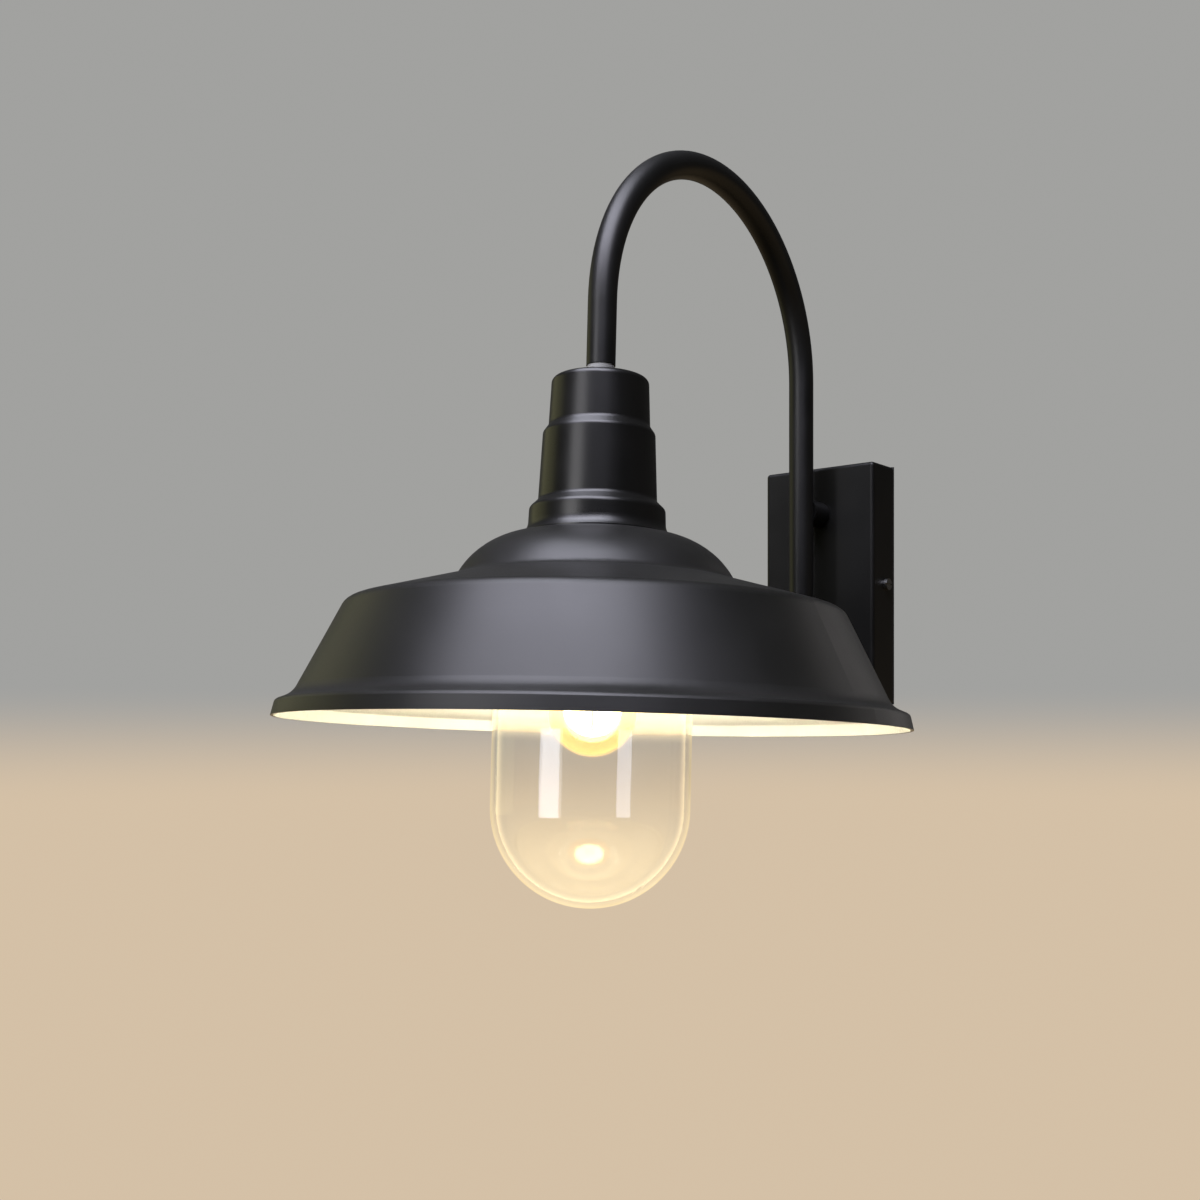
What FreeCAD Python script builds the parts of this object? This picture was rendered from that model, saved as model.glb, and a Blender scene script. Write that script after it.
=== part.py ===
import FreeCAD, Part
import math
import os

import Sketcher
from FreeCAD import Placement, Rotation, Vector

# Gooseneck wall lantern with a domed conical shade, a clear screw-in glass and a globe bulb. Millimetres.
#
# Wall frame: the wall is the plane Y = 0, the lantern stands out along -Y, +Z is up, and the origin is
# the middle of the wall box on the wall. Sketches on XZ_Plane have their normal along -Y, so an offset
# there is a distance out from the wall.
#
# Head frame: everything below the arm hangs in a frame of its own. Its origin is the end of the arm's
# bend, its +Z runs down the head's axis and its +Y points forward. A depth in the sheet is a Z there.

DIMENSIONS = {
    "Arm": {
        "tube_radius": 7.5,
        "tube_bore": 6.0,
        "bend_radius": 100.0,
        "arm_sweep": 177.77,
        "arm_offset": 49.5,
        "spring_height": 124.0,
        "tail_depth": 66.0,
        "end_cap_length": 3.0,
        "end_cap_spigot": 8.0,
    },
    "Wall box": {
        "box_half_width": 38.5,
        "box_half_height": 75.0,
        "box_depth": 28.0,
        "box_wall": 2.0,
        "box_edge": 2.2,
        "seal_thickness": 1.5,
        "cover_screw_offset": 11.0,
        "cover_screw_radius": 2.0,
        "cover_hole_radius": 2.2,
        "cover_head_radius": 3.6,
        "cover_head_height": 2.2,
        "slot_half_width": 0.45,
        "slot_depth": 1.1,
    },
    "Wall bracket": {
        "plate_half_width": 36.2,
        "plate_half_height": 68.0,
        "plate_thickness": 2.0,
        "tab_half_height": 12.0,
        "tab_reach": 18.0,
        "wall_hole_radius": 2.75,
        "wall_hole_offset": 60.0,
        "entry_radius": 8.0,
        "entry_height": 30.0,
        "grommet_radius": 10.0,
        "grommet_bore": 4.5,
        "grommet_lip": 1.6,
    },
    "Terminals": {
        "block_half_width": 13.0,
        "block_bottom": 2.0,
        "block_top": 16.0,
        "block_front": 18.0,
        "terminal_offset": 8.0,
        "terminal_axis": 10.0,
        "terminal_radius": 3.0,
        "terminal_bore": 1.3,
        "terminal_length": 13.0,
        "terminal_screw_radius": 1.5,
        "terminal_screw_low": 2.5,
        "terminal_screw_high": 9.5,
        "terminal_screw_front": 16.5,
        "block_screw_height": 7.0,
        "block_screw_radius": 1.6,
        "block_screw_head": 3.0,
        "block_screw_sink": 4.0,
    },
    "Earth": {
        "earth_x": 16.0,
        "earth_z": 58.0,
        "stud_radius": 2.0,
        "stud_flange_radius": 3.6,
        "stud_flange_front": 3.0,
        "stud_front": 13.0,
        "lug_front": 3.8,
        "lug_radius": 4.2,
        "lug_hole": 2.1,
        "barrel_radius": 1.8,
        "barrel_end": 9.0,
        "barrel_offset": 4.8,
        "earth_nut_front": 7.0,
        "earth_nut_corner": 4.04,
    },
    "Standoffs": {
        "standoff_radius": 8.0,
        "standoff_height": 45.0,
        "standoff_front": 44.5,
        "standoff_bore": 4.2,
        "nipple_radius": 5.0,
        "nipple_bore": 3.9,
        "nipple_back": 18.0,
        "nipple_front": 38.0,
        "nipple_nut_back": 20.3,
        "nipple_nut_corner": 9.2,
        "nipple_washer_back": 24.8,
        "nipple_washer_radius": 9.5,
        "nipple_hole_radius": 5.15,
    },
    "Neck": {
        "seal_top": 33.5,
        "seal_radius": 7.1,
        "seal_edge": 0.5,
        "neck_top": 40.5,
        "neck_top_radius": 24.8,
        "neck_top_edge": 3.0,
        "upper_foot": 65.0,
        "upper_foot_radius": 25.9,
        "middle_head": 69.0,
        "middle_head_radius": 28.7,
        "middle_foot": 103.4,
        "middle_foot_radius": 30.3,
        "collar_head": 107.6,
        "collar_head_radius": 34.7,
        "collar_waist": 115.0,
        "collar_waist_radius": 35.0,
        "collar_flare": 8.0,
        "collar_lip": 120.4,
        "collar_lip_radius": 37.4,
        "collar_foot": 121.0,
        "step_hollow": 2.5,
        "step_edge": 3.0,
        "neck_roof": 44.5,
        "upper_bore": 22.0,
        "upper_bore_foot": 64.5,
        "middle_bore": 25.4,
        "middle_bore_head": 72.0,
        "flange_head": 108.0,
        "flange_bore": 24.5,
        "arm_nipple_top": 22.0,
        "arm_nipple_foot": 57.0,
        "arm_nipple_bore": 4.3,
        "arm_hole_radius": 6.1,
        "neck_washer_foot": 46.0,
        "neck_washer_radius": 12.0,
        "neck_nut_foot": 52.0,
        "neck_nut_corner": 11.0,
    },
    "Shade": {
        "shade_wall": 1.5,
        "dome_start_radius": 36.0,
        "dome_radius": 42.9,
        "dome_foot_radius": 71.0,
        "dome_foot": 144.4,
        "dome_foot_fillet": 5.0,
        "shoulder_radius": 125.2,
        "shoulder_depth": 159.3,
        "shoulder_edge": 7.0,
        "skirt_radius": 149.0,
        "skirt_depth": 206.2,
        "skirt_fillet": 11.0,
        "ledge_radius": 157.2,
        "ledge_depth": 209.5,
        "ledge_edge": 2.2,
        "rim_radius": 159.0,
        "rim_depth": 217.0,
    },
    "Glass carrier": {
        "carrier_top_radius": 35.5,
        "carrier_plate": 126.0,
        "carrier_bend_radius": 45.0,
        "carrier_bend_depth": 127.5,
        "carrier_radius": 47.5,
        "carrier_shoulder": 131.0,
        "carrier_foot": 186.0,
        "carrier_hole": 10.0,
        "carrier_floor_radius": 34.5,
        "carrier_inner_radius": 43.9,
        "carrier_inner_depth": 131.8,
        "thread_radius": 42.7,
        "thread_head": 167.0,
        "gallery_pitch": 30.0,
        "gallery_screw_radius": 2.0,
        "gallery_hole_radius": 2.2,
        "gallery_screw_top": 111.0,
        "gallery_head_radius": 3.9,
        "gallery_head_height": 2.6,
        "gallery_slot_depth": 1.2,
    },
    "Glass": {
        "gasket_head": 186.1,
        "gasket_foot": 188.1,
        "gasket_bore": 42.9,
        "gasket_radius": 47.4,
        "glass_top": 169.0,
        "glass_neck_radius": 42.3,
        "glass_shoulder": 188.2,
        "glass_radius": 50.5,
        "glass_edge": 2.5,
        "glass_wall": 3.0,
        "glass_centre": 258.8,
        "glass_neck_inner_foot": 191.2,
    },
    "Lampholder": {
        "holder_radius": 22.0,
        "holder_edge": 2.0,
        "holder_foot": 184.0,
        "holder_floor": 150.0,
        "shell_top": 151.5,
        "shell_radius": 14.2,
        "shell_bore": 13.6,
        "shell_foot": 182.5,
        "shell_hole": 9.0,
        "wire_pocket_half_width": 3.0,
        "wire_pocket_half_length": 5.0,
        "wire_pocket_depth": 146.0,
        "wire_entry_x": 7.0,
        "terminal_block_half_width": 2.8,
        "terminal_block_half_length": 4.8,
        "terminal_block_head": 131.0,
        "spring_radius": 5.5,
        "spring_foot": 154.6,
        "spring_post_radius": 2.0,
        "holder_screw_x": 16.5,
        "holder_screw_radius": 1.5,
        "holder_screw_foot": 140.0,
        "holder_screw_head_radius": 2.8,
        "holder_screw_head_height": 1.8,
        "holder_screw_slot": 0.8,
    },
    "Head earth": {
        "head_lug_y": 18.0,
        "head_lug_thickness": 0.8,
        "head_barrel_depth": 120.4,
        "head_barrel_start": 9.0,
        "head_earth_screw_radius": 2.0,
        "head_earth_head_radius": 3.6,
        "head_earth_head_height": 2.4,
    },
    "Bulb": {
        "bulb_tip": 155.0,
        "contact_radius": 4.5,
        "contact_foot": 156.4,
        "insulator_top_radius": 6.0,
        "insulator_radius": 12.4,
        "insulator_foot": 161.0,
        "cap_radius": 13.25,
        "cap_wall": 0.5,
        "cap_foot": 182.0,
        "neck_glass_radius": 12.7,
        "neck_glass_top": 172.0,
        "globe_radius": 22.5,
        "globe_join_radius": 14.6,
        "globe_join_depth": 193.4,
        "globe_inner_join_radius": 14.08,
        "globe_inner_join_depth": 194.0,
        "globe_bottom": 233.0,
        "globe_wall": 0.8,
        "stem_foot_radius": 9.0,
        "stem_head_radius": 3.2,
        "stem_base": 175.0,
        "stem_waist": 184.0,
        "stem_tip": 200.0,
        "mast_radius": 0.9,
        "mast_tip": 219.0,
        "mast_ring_radius": 3.4,
        "mast_ring_height": 0.8,
        "filament_pitch": 4.4,
        "filament_radius": 0.8,
        "filament_head": 194.0,
        "filament_foot": 221.0,
    },
    "Wires": {
        "wire_radius": 1.1,
        "wire_spacing": 2.5,
        "wire_box_bend": 7.0,
        "wire_arm_bend": 8.0,
        "wire_lug_bend": 4.5,
        "wire_neck_bend": 30.0,
        "wire_spread_head": 62.0,
        "wire_spread_foot": 112.0,
        "wire_earth_bend": 6.0,
    },
}

ORIGIN = "0"
FULL_TURN = 360.0
LEAST_CUT = 0.01
SHEET = "dims"

doc = FreeCAD.newDocument("WallLantern")
sheet = doc.addObject("Spreadsheet::Sheet", SHEET)
sub_parts = []


# ---------------------------------------------------------------------------------------- the sheet


def fill_sheet():
    """Write every driving dimension into the sheet: a name, a plain number and an alias per row."""
    row = 1
    for group, values in DIMENSIONS.items():
        sheet.set(f"A{row}", group)
        for name, value in values.items():
            row += 1
            sheet.set(f"A{row}", name)
            sheet.set(f"B{row}", str(value))
            sheet.setAlias(f"B{row}", name)
        row += 2
    doc.recompute()


def size(text):
    """The number behind a sum of cell names, such as 'box_depth - box_wall'."""
    total = 0.0
    sign = 1.0
    for word in text.split():
        if word in ("+", "-"):
            sign = 1.0 if word == "+" else -1.0
        elif word != ORIGIN:
            total += sign * sheet.get(word)
            sign = 1.0
    return total


def formula(text):
    """The same sum as an expression on the sheet."""
    words = [w if w in ("+", "-", ORIGIN) else f"{SHEET}.{w}" for w in text.split()]
    return " ".join(words)


def bind(item, prop, text):
    """Drive one property of an object from the sheet."""
    item.setExpression(prop, formula(text))


# ------------------------------------------------------------------------------------------ sketches


def plane_of(body, role):
    """One of a body's own origin planes."""
    return next(f for f in body.Origin.OriginFeatures if f.Role == role)


def new_sketch(body, name, role, offset=ORIGIN):
    """An empty sketch on an origin plane of its body, moved along the plane's normal by offset."""
    sketch = body.newObject("Sketcher::SketchObject", name)
    sketch.AttachmentSupport = [(plane_of(body, role), "")]
    sketch.MapMode = "FlatFace"
    if offset != ORIGIN:
        sketch.AttachmentOffset = Placement(Vector(0, 0, size(offset)), Rotation())
        bind(sketch, "AttachmentOffset.Base.z", offset)
    return sketch


def bound_distance(sketch, kind, geometry, end, text):
    """Hold one end of a curve at a distance from the sketch's origin that comes from the sheet."""
    if text == ORIGIN:
        axis = -2 if kind == "DistanceX" else -1
        sketch.addConstraint(Sketcher.Constraint("PointOnObject", geometry, end, axis))
        return
    rule = sketch.addConstraint(Sketcher.Constraint(kind, -1, 1, geometry, end, size(text)))
    bind(sketch, f"Constraints[{rule}]", text)


def bound_radius(sketch, geometry, text):
    """Give a circle or an arc a radius from the sheet."""
    rule = sketch.addConstraint(Sketcher.Constraint("Radius", geometry, size(text)))
    bind(sketch, f"Constraints[{rule}]", text)


def add_arc(sketch, start, end, radius, clockwise):
    """Draw the short arc from start to end. Returns the curve and which of its ends are start and end."""
    chord = end - start
    left = Vector(-chord.y, chord.x, 0).normalize()
    height = math.sqrt(radius**2 - chord.Length**2 / 4)
    centre = start + chord / 2 + left * (-height if clockwise else height)
    first, last = (end, start) if clockwise else (start, end)
    angles = [math.atan2(p.y - centre.y, p.x - centre.x) for p in (first, last)]
    circle = Part.Circle(centre, Vector(0, 0, 1), radius)
    curve = sketch.addGeometry(Part.ArcOfCircle(circle, angles[0], angles[1]))
    return (curve, 2, 1) if clockwise else (curve, 1, 2)


def draw_outline(sketch, corners):
    """A closed outline through corners. Each is (x, y), or (x, y, turn, radius) where an arc leads on to
    the next corner, turning 'left' or 'right'. An arc with an end on the vertical axis is centred on it."""
    places = [Vector(size(c[0]), size(c[1]), 0) for c in corners]
    curves = []
    for i, corner in enumerate(corners):
        start = places[i]
        end = places[(i + 1) % len(places)]
        if len(corner) == 4:
            curves.append(add_arc(sketch, start, end, size(corner[3]), corner[2] == "right"))
        else:
            curves.append((sketch.addGeometry(Part.LineSegment(start, end)), 1, 2))
    for i, (curve, first, last) in enumerate(curves):
        following, next_first, _ = curves[(i + 1) % len(curves)]
        sketch.addConstraint(Sketcher.Constraint("Coincident", curve, last, following, next_first))
        bound_distance(sketch, "DistanceX", curve, first, corners[i][0])
        bound_distance(sketch, "DistanceY", curve, first, corners[i][1])
        on_axis = ORIGIN in (corners[i][0], corners[(i + 1) % len(corners)][0])
        if len(corners[i]) == 4 and on_axis:
            sketch.addConstraint(Sketcher.Constraint("PointOnObject", curve, 3, -2))
        elif len(corners[i]) == 4:
            bound_radius(sketch, curve, corners[i][3])


def draw_circles(sketch, places, radius):
    """Circles of one radius, each centred at a place (x, y)."""
    for x, y in places:
        circle = Part.Circle(Vector(size(x), size(y), 0), Vector(0, 0, 1), size(radius))
        curve = sketch.addGeometry(circle)
        bound_distance(sketch, "DistanceX", curve, 3, x)
        bound_distance(sketch, "DistanceY", curve, 3, y)
        bound_radius(sketch, curve, radius)


def rectangle(left, right, low, high):
    """The corners of a rectangle."""
    return [(left, low), (right, low), (right, high), (left, high)]


# ------------------------------------------------------------------------------------------ features


def new_body(label):
    """A sub-part made with PartDesign."""
    body = doc.addObject("PartDesign::Body", label)
    body.Label = label
    body.AllowCompound = True
    sub_parts.append(body)
    return body


def revolve(body, name, corners):
    """Turn an outline in the XZ plane about the Z axis."""
    sketch = new_sketch(body, name + "_profile", "XZ_Plane")
    draw_outline(sketch, corners)
    feature = body.newObject("PartDesign::Revolution", name)
    feature.Profile = sketch
    feature.ReferenceAxis = (sketch, ["V_Axis"])
    feature.Angle = FULL_TURN
    return feature


def pad(body, name, sketch, length):
    """Grow a sketch along its plane's normal."""
    feature = body.newObject("PartDesign::Pad", name)
    feature.Profile = sketch
    bind(feature, "Length", length)
    return feature


def pocket(body, name, sketch, length, along_normal=False):
    """Cut a sketch into the body, against its plane's normal unless along_normal says otherwise."""
    doc.recompute()
    solid = body.Tip.Shape
    feature = body.newObject("PartDesign::Pocket", name)
    feature.Profile = sketch
    feature.Reversed = along_normal
    bind(feature, "Length", length)
    doc.recompute()
    cutter = feature.AddSubShape.transformed(feature.Placement.toMatrix())
    if solid.common(cutter).Volume < LEAST_CUT:
        raise RuntimeError(f"{body.Label}: {name} cuts nothing")
    return feature


def polar(body, name, features, count):
    """Repeat features round the body's Z axis."""
    doc.recompute()
    feature = body.newObject("PartDesign::PolarPattern", name)
    feature.Originals = features
    axis = next(f for f in body.Origin.OriginFeatures if f.Role == "Z_Axis")
    feature.Axis = (axis, [""])
    feature.Angle = FULL_TURN
    feature.Occurrences = count
    body.Tip = feature
    return feature


def circle_edges(shape, radius, depth):
    """Names of the full circles of a turned shape with this radius at this height."""
    names = []
    for i, edge in enumerate(shape.Edges, start=1):
        if edge.Degenerated or not isinstance(edge.Curve, Part.Circle):
            continue
        off_radius = abs(edge.Curve.Radius - size(radius))
        off_depth = abs(edge.Curve.Center.z - size(depth))
        if max(off_radius, off_depth) < 0.01:
            names.append(f"Edge{i}")
    return names


def fillet(body, name, base, edges, radius):
    """Round edges of the feature base."""
    feature = body.newObject("PartDesign::Fillet", name)
    feature.Base = (base, edges)
    bind(feature, "Radius", radius)
    doc.recompute()
    return feature


def round_circle(body, name, radius, depth, fillet_radius):
    """Round one circular edge of a turned body."""
    doc.recompute()
    base = body.Tip
    return fillet(body, name, base, circle_edges(base.Shape, radius, depth), fillet_radius)


def hollow(body, name, mouth, wall):
    """Leave a wall of even thickness inside a turned body, open at its flat end at the given height."""
    doc.recompute()
    base = body.Tip
    faces = []
    for i, face in enumerate(base.Shape.Faces, start=1):
        if face.BoundBox.ZLength < 0.01 and abs(face.BoundBox.ZMin - size(mouth)) < 0.01:
            faces.append(f"Face{i}")
    feature = body.newObject("PartDesign::Thickness", name)
    feature.Base = (base, faces)
    feature.Reversed = True
    bind(feature, "Value", wall)
    doc.recompute()
    return feature


def cylinders(body, name, role, places, radius, start, length):
    """Equal round bars that start at an offset from an origin plane."""
    sketch = new_sketch(body, name + "_circles", role, start)
    draw_circles(sketch, places, radius)
    return pad(body, name, sketch, length)


def bores(body, name, role, places, radius, start, length, along_normal=True):
    """Equal round holes that start at an offset from an origin plane."""
    sketch = new_sketch(body, name + "_circles", role, start)
    draw_circles(sketch, places, radius)
    return pocket(body, name, sketch, length, along_normal)


def bar(body, name, role, corners, start, length):
    """A straight-sided bar that starts at an offset from an origin plane."""
    sketch = new_sketch(body, name + "_outline", role, start)
    draw_outline(sketch, corners)
    return pad(body, name, sketch, length)


def slot(body, name, role, corners, start, length, along_normal=True):
    """A straight-sided cut that starts at an offset from an origin plane."""
    sketch = new_sketch(body, name + "_outline", role, start)
    draw_outline(sketch, corners)
    return pocket(body, name, sketch, length, along_normal)


# ---------------------------------------------------------------------------------------- placements


def head_placement():
    """The head frame in the wall frame, as numbers."""
    turn = math.radians(size("arm_sweep"))
    reach = size("bend_radius")
    centre = Vector(0, -size("arm_offset") - reach, size("spring_height"))
    end = centre + Vector(0, reach * math.cos(turn), reach * math.sin(turn))
    return Placement(end, Rotation(Vector(1, 0, 0), size("arm_sweep")))


def hang(item):
    """Place an object in the head frame, driven by the arm's cells."""
    turn = f"{SHEET}.arm_sweep * 1 deg"
    forward = f"- {SHEET}.arm_offset - {SHEET}.bend_radius + {SHEET}.bend_radius * cos({turn})"
    up = f"{SHEET}.spring_height + {SHEET}.bend_radius * sin({turn})"
    rotation = f"rotation(vector(1; 0; 0); {SHEET}.arm_sweep)"
    item.setExpression("Placement", f"placement(vector(0; {forward}; {up}); {rotation})")


def head_body(label):
    """A PartDesign sub-part that hangs in the head frame."""
    body = new_body(label)
    hang(body)
    return body


def turned(label, corners):
    """A turned sub-part of the head. Corners are (radius, depth)."""
    body = head_body(label)
    revolve(body, label + "_turned", corners)
    return body


def ring_corners(bore, radius, head, foot):
    """The section of a plain ring."""
    return [(bore, head), (radius, head), (radius, foot), (bore, foot)]


def hex_nut(label, corner, bore, start, length):
    """A hexagonal nut on the Z axis of whatever frame it is placed in."""
    blank = doc.addObject("Part::Prism", label + "_blank")
    blank.Polygon = 6
    bind(blank, "Circumradius", corner)
    bind(blank, "Height", length)
    bind(blank, "Placement.Base.z", start)
    hole = doc.addObject("Part::Cylinder", label + "_hole")
    bind(hole, "Radius", bore)
    bind(hole, "Height", length)
    bind(hole, "Placement.Base.z", start)
    nut = doc.addObject("Part::Cut", label)
    nut.Base = blank
    nut.Tool = hole
    nut.Label = label
    return nut


def out_from_wall(item, x, z):
    """Place an object so that its own +Z points out from the wall, at (x, z) on the wall."""
    turn = "rotation(vector(1; 0; 0); 90)"
    item.setExpression("Placement", f"placement(vector({formula(x)}; 0; {formula(z)}); {turn})")


# --------------------------------------------------------------------------------------- wall side


STANDOFFS = [("0", "standoff_height"), ("0", "- standoff_height")]


def wall_bracket():
    """Steel plate on the wall, with two side tabs that take the cover's screws."""
    body = new_body("wall_bracket")
    half = ("- plate_half_width", "plate_half_width")
    tall = ("- plate_half_height", "plate_half_height")
    bar(body, "plate", "XZ_Plane", rectangle(*half, *tall), ORIGIN, "plate_thickness")
    inner = "plate_half_width - plate_thickness"
    rise = ("- tab_half_height", "tab_half_height")
    right = rectangle(inner, "plate_half_width", *rise)
    left = rectangle("- plate_half_width", "- plate_half_width + plate_thickness", *rise)
    for name, corners in (("right_tab", right), ("left_tab", left)):
        bar(body, name, "XZ_Plane", corners, ORIGIN, "tab_reach")
    walls = [("0", "wall_hole_offset"), ("0", "- wall_hole_offset")]
    depth = "plate_thickness"
    bores(body, "wall_holes", "XZ_Plane", walls, "wall_hole_radius", ORIGIN, depth)
    bores(body, "entry", "XZ_Plane", [("0", "- entry_height")], "entry_radius", ORIGIN, depth)
    block = [("0", "block_screw_height")]
    bores(body, "block_thread", "XZ_Plane", block, "terminal_screw_radius", ORIGIN, depth)
    across = "plate_half_width + plate_half_width"
    screw = [("- cover_screw_offset", "0")]
    start = "- plate_half_width"
    bores(body, "tab_threads", "YZ_Plane", screw, "cover_screw_radius", start, across)


def back_seal():
    """Foam frame between the wall and the cover's back edge."""
    body = new_body("back_seal")
    half = ("- box_half_width", "box_half_width")
    tall = ("- box_half_height", "box_half_height")
    bar(body, "frame", "XZ_Plane", rectangle(*half, *tall), ORIGIN, "seal_thickness")
    inside = rectangle(
        "- box_half_width + box_wall",
        "box_half_width - box_wall",
        "- box_half_height + box_wall",
        "box_half_height - box_wall",
    )
    slot(body, "inside", "XZ_Plane", inside, ORIGIN, "seal_thickness")


def wall_box():
    """Cover over the bracket and the terminals, open at the back, with rounded outer edges."""
    body = new_body("wall_box")
    half = ("- box_half_width", "box_half_width")
    tall = ("- box_half_height", "box_half_height")
    depth = "box_depth - seal_thickness"
    block = bar(body, "block", "XZ_Plane", rectangle(*half, *tall), "seal_thickness", depth)
    doc.recompute()
    back = -size("seal_thickness")
    names = []
    for i, edge in enumerate(block.Shape.Edges, start=1):
        if edge.BoundBox.YMin < back - 0.01:
            names.append(f"Edge{i}")
    fillet(body, "edges", block, names, "box_edge")
    front = "box_depth - box_wall"
    inside = rectangle(
        "- box_half_width + box_wall",
        "box_half_width - box_wall",
        "- box_half_height + box_wall",
        "box_half_height - box_wall",
    )
    deep = "box_depth - box_wall - seal_thickness"
    slot(body, "inside", "XZ_Plane", inside, "seal_thickness", deep)
    bores(body, "nipple_holes", "XZ_Plane", STANDOFFS, "nipple_hole_radius", front, "box_wall")
    screw = [("- cover_screw_offset", "0")]
    across = "box_half_width + box_half_width"
    bores(body, "screw_holes", "YZ_Plane", screw, "cover_hole_radius", "- box_half_width", across)


def cover_screws():
    """Two slotted pan-head screws, one in each side of the cover."""
    body = new_body("cover_screws")
    place = [("- cover_screw_offset", "0")]
    inner = "plate_half_width - plate_thickness"
    shank = "box_half_width - plate_half_width + plate_thickness"
    radius = "cover_screw_radius"
    head = "cover_head_radius"
    height = "cover_head_height"
    cylinders(body, "right_shank", "YZ_Plane", place, radius, inner, shank)
    cylinders(body, "right_head", "YZ_Plane", place, head, "box_half_width", height)
    left_shank = "- box_half_width"
    left_head = "- box_half_width - cover_head_height"
    cylinders(body, "left_shank", "YZ_Plane", place, radius, left_shank, shank)
    cylinders(body, "left_head", "YZ_Plane", place, head, left_head, height)
    cut = rectangle(
        "- cover_screw_offset - cover_head_radius",
        "- cover_screw_offset + cover_head_radius",
        "- slot_half_width",
        "slot_half_width",
    )
    right_face = "box_half_width + cover_head_height - slot_depth"
    slot(body, "right_slot", "YZ_Plane", cut, right_face, "slot_depth")
    slot(body, "left_slot", "YZ_Plane", cut, left_head, "slot_depth")


def cable_grommet():
    """Rubber grommet in the bracket's cable entry. Its flange is on the box side only."""
    body = new_body("cable_grommet")
    place = [("0", "- entry_height")]
    lip = "grommet_lip"
    cylinders(body, "sleeve", "XZ_Plane", place, "entry_radius", ORIGIN, "plate_thickness")
    cylinders(body, "flange", "XZ_Plane", place, "grommet_radius", "plate_thickness", lip)
    through = "plate_thickness + grommet_lip"
    bores(body, "cable_bore", "XZ_Plane", place, "grommet_bore", ORIGIN, through)


WAYS = ("- terminal_offset", "terminal_offset")


def terminal_block():
    """Two-way insulated terminal block on the bracket."""
    body = new_body("terminal_block")
    corners = rectangle("- block_half_width", "block_half_width", "- block_bottom", "block_top")
    deep = "block_front - plate_thickness"
    bar(body, "case", "XZ_Plane", corners, "plate_thickness", deep)
    ways = [(x, "- terminal_axis") for x in WAYS]
    tall = "block_bottom + block_top"
    bores(body, "ways", "XY_Plane", ways, "terminal_radius", "- block_bottom", tall)
    screws = [(x, z) for x in WAYS for z in ("terminal_screw_low", "terminal_screw_high")]
    reach = "block_front - terminal_axis"
    bores(body, "screw_ways", "XZ_Plane", screws, "terminal_screw_radius", "terminal_axis", reach)
    fixing = [("0", "block_screw_height")]
    bores(body, "fixing", "XZ_Plane", fixing, "block_screw_radius", "plate_thickness", deep)
    sunk = "block_front - block_screw_sink"
    bores(body, "fixing_sink", "XZ_Plane", fixing, "block_screw_head", sunk, "block_screw_sink")


def terminal_inserts():
    """Brass barrels in the terminal block, with a bore for the wire and threads for two screws."""
    body = new_body("terminal_inserts")
    ways = [(x, "- terminal_axis") for x in WAYS]
    tall = "terminal_length"
    cylinders(body, "barrels", "XY_Plane", ways, "terminal_radius", ORIGIN, tall)
    bores(body, "wire_bores", "XY_Plane", ways, "terminal_bore", ORIGIN, tall)
    screws = [(x, z) for x in WAYS for z in ("terminal_screw_low", "terminal_screw_high")]
    start = "terminal_axis"
    radius = "terminal_screw_radius"
    bores(body, "screw_threads", "XZ_Plane", screws, radius, start, "terminal_radius")


def terminal_screws():
    """Four slotted clamping screws in the terminal block."""
    body = new_body("terminal_screws")
    screws = [(x, z) for x in WAYS for z in ("terminal_screw_low", "terminal_screw_high")]
    start = "terminal_axis + terminal_bore"
    length = "terminal_screw_front - terminal_axis - terminal_bore"
    cylinders(body, "screws", "XZ_Plane", screws, "terminal_screw_radius", start, length)
    slot_start = "terminal_screw_front - slot_half_width"
    for i, (x, z) in enumerate(screws):
        cut = rectangle(
            f"{x} - terminal_screw_radius",
            f"{x} + terminal_screw_radius",
            f"{z} - slot_half_width",
            f"{z} + slot_half_width",
        )
        slot(body, f"slot_{i}", "XZ_Plane", cut, slot_start, "slot_half_width")


def block_screw():
    """Screw that holds the terminal block on the bracket."""
    body = new_body("block_screw")
    place = [("0", "block_screw_height")]
    shank = "block_front - block_screw_sink"
    cylinders(body, "shank", "XZ_Plane", place, "terminal_screw_radius", ORIGIN, shank)
    cylinders(body, "head", "XZ_Plane", place, "block_screw_head", shank, "plate_thickness")
    cut = rectangle(
        "- block_screw_head",
        "block_screw_head",
        "block_screw_height - slot_half_width",
        "block_screw_height + slot_half_width",
    )
    face = "block_front - block_screw_sink + plate_thickness - slot_depth"
    slot(body, "slot", "XZ_Plane", cut, face, "slot_depth")


def earth_stud():
    """Threaded earth stud on the bracket."""
    body = new_body("earth_stud")
    place = [("earth_x", "earth_z")]
    flange = "stud_flange_front - plate_thickness"
    cylinders(body, "flange", "XZ_Plane", place, "stud_flange_radius", "plate_thickness", flange)
    length = "stud_front - plate_thickness"
    cylinders(body, "thread", "XZ_Plane", place, "stud_radius", "plate_thickness", length)


def earth_lug():
    """Ring tongue on the earth wire's end, clamped on the bracket's stud."""
    body = new_body("earth_lug")
    thick = "lug_front - stud_flange_front"
    place = [("earth_x", "earth_z")]
    cylinders(body, "ring", "XZ_Plane", place, "lug_radius", "stud_flange_front", thick)
    tongue = rectangle(
        "barrel_end", "earth_x - stud_radius", "earth_z - barrel_radius", "earth_z + barrel_radius"
    )
    bar(body, "tongue", "XZ_Plane", tongue, "stud_flange_front", thick)
    length = "earth_x - barrel_end - lug_radius"
    centre = [("- barrel_offset", "earth_z")]
    cylinders(body, "barrel", "YZ_Plane", centre, "barrel_radius", "barrel_end", length)
    bores(body, "hole", "XZ_Plane", place, "lug_hole", "stud_flange_front", thick)


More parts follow.
